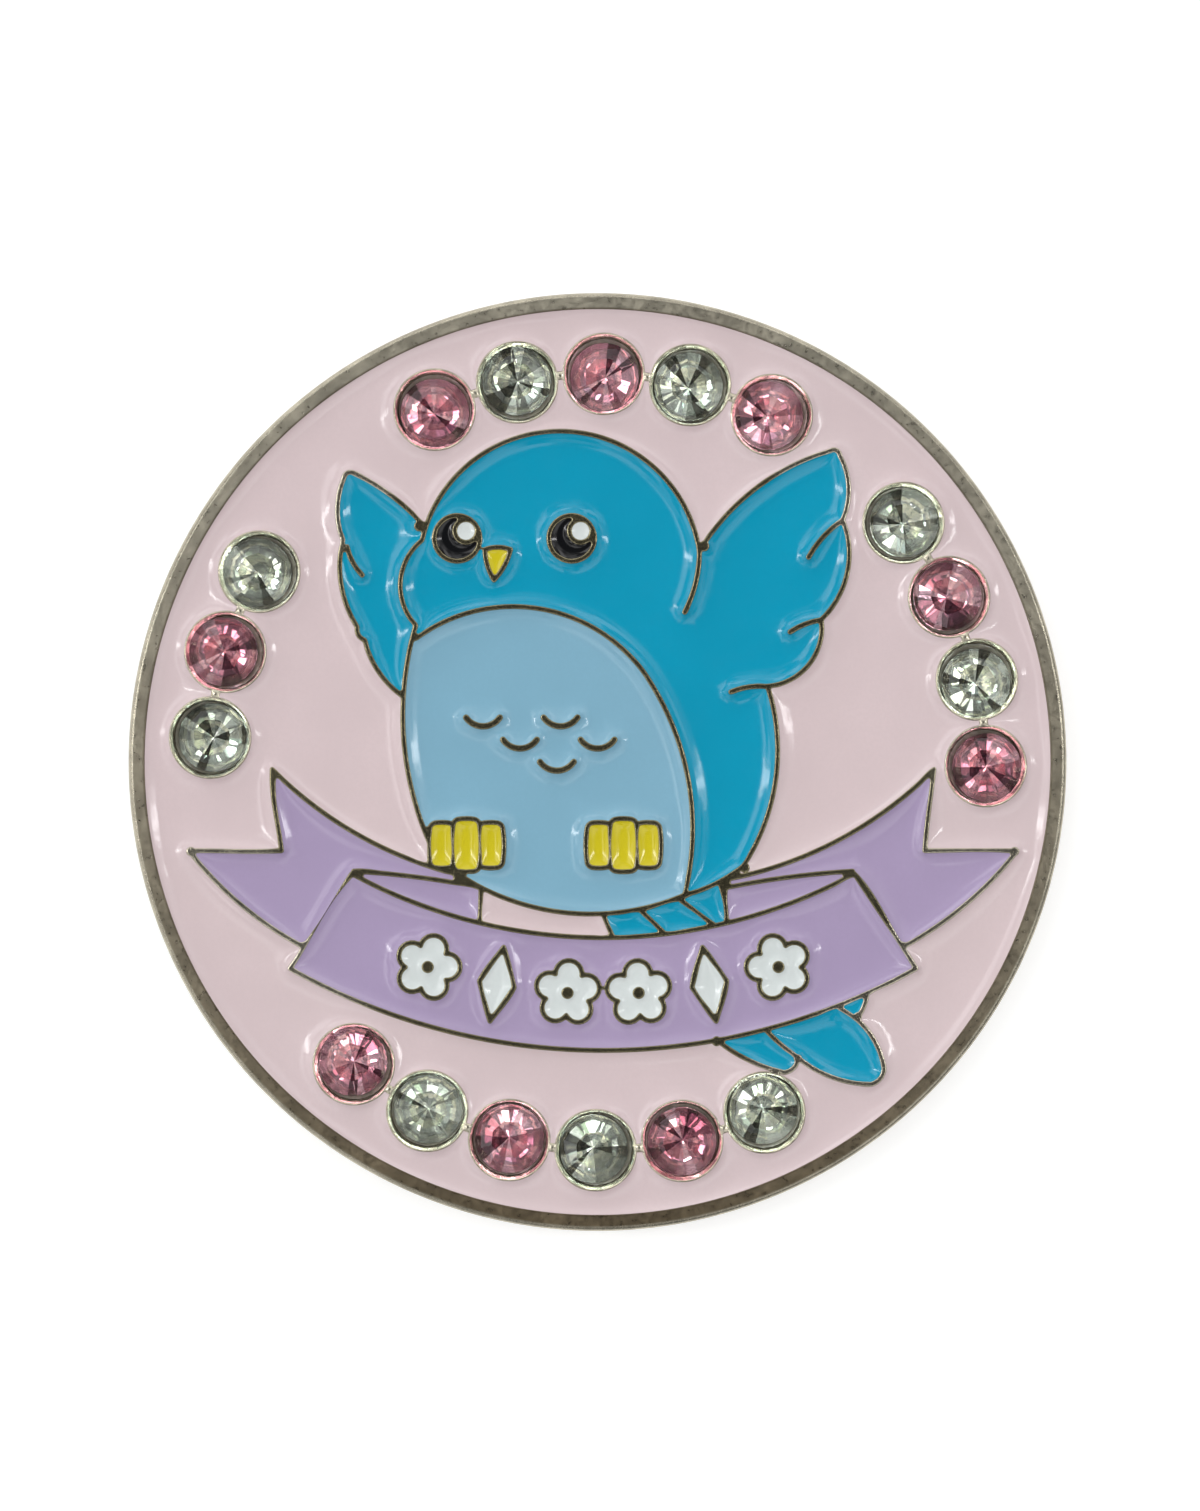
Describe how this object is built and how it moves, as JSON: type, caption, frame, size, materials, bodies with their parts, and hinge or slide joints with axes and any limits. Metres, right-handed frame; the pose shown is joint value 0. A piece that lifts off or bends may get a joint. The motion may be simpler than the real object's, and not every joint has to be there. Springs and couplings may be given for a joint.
{
  "type": "ball marker",
  "caption": "Round metal coin marker for a golf green, with an enamelled bird and ribbon, cut-glass stones in cups round the edge, and a steel disc in the back.",
  "frame": {"origin": "centre of the back face, which lies on the surface the marker rests on", "axes": "+Z out of the decorated face along the coin's axis, +Y towards the top of the picture, +X to the picture's right"},
  "size_m": [0.0254, 0.0254, 0.0022],
  "materials": {
    "nickel": "nickel plate over die-cast zinc, lightly scuffed",
    "steel": "rolled mild steel",
    "adhesive": "cured epoxy film",
    "enamel_pink": "soft enamel, glossy",
    "enamel_teal": "soft enamel, glossy",
    "enamel_sky": "soft enamel, glossy",
    "enamel_lilac": "soft enamel, glossy",
    "enamel_yellow": "soft enamel, glossy",
    "enamel_white": "soft enamel, glossy",
    "enamel_black": "soft enamel, glossy",
    "foil": "silver foil on the pointed back",
    "cement": "clear stone cement, set",
    "stone_pink": "cut glass, rose",
    "stone_clear": "cut glass, clear"
  },
  "bodies": {
    "root": {"coin": "nickel", "steel_disc": "steel", "disc_adhesive": "adhesive", "stone_foils": "foil", "stone_cement": "cement", "ribbon_ornament_1": "enamel_white", "ribbon_ornament_2": "enamel_white", "ribbon_ornament_3": "enamel_white", "ribbon_ornament_4": "enamel_white", "ribbon_ornament_5": "enamel_white", "ribbon_ornament_6": "enamel_white", "ribbon_front": "enamel_lilac", "left_eye_glint": "enamel_white", "right_eye_glint": "enamel_white", "left_eye": "enamel_black", "right_eye": "enamel_black", "beak": "enamel_yellow", "left_foot_middle_toe": "enamel_yellow", "left_foot_inner_toe": "enamel_yellow", "left_foot_outer_toe": "enamel_yellow", "right_foot_middle_toe": "enamel_yellow", "right_foot_inner_toe": "enamel_yellow", "right_foot_outer_toe": "enamel_yellow", "belly": "enamel_sky", "bird": "enamel_teal", "left_wing": "enamel_teal", "ribbon_fold_left": "enamel_lilac", "ribbon_fold_right": "enamel_lilac", "ribbon_end_left": "enamel_lilac", "ribbon_end_right": "enamel_lilac", "tail_feather_middle": "enamel_teal", "tail_feather_left": "enamel_teal", "tail_feather_right": "enamel_teal", "background": "enamel_pink", "pink_stone_1": "stone_pink", "clear_stone_2": "stone_clear", "pink_stone_3": "stone_pink", "clear_stone_4": "stone_clear", "pink_stone_5": "stone_pink", "clear_stone_6": "stone_clear", "pink_stone_7": "stone_pink", "clear_stone_8": "stone_clear", "pink_stone_9": "stone_pink", "clear_stone_10": "stone_clear", "pink_stone_11": "stone_pink", "clear_stone_12": "stone_clear", "pink_stone_13": "stone_pink", "clear_stone_14": "stone_clear", "pink_stone_15": "stone_pink", "clear_stone_16": "stone_clear", "pink_stone_17": "stone_pink", "clear_stone_18": "stone_clear"}
  },
  "joints": []
}
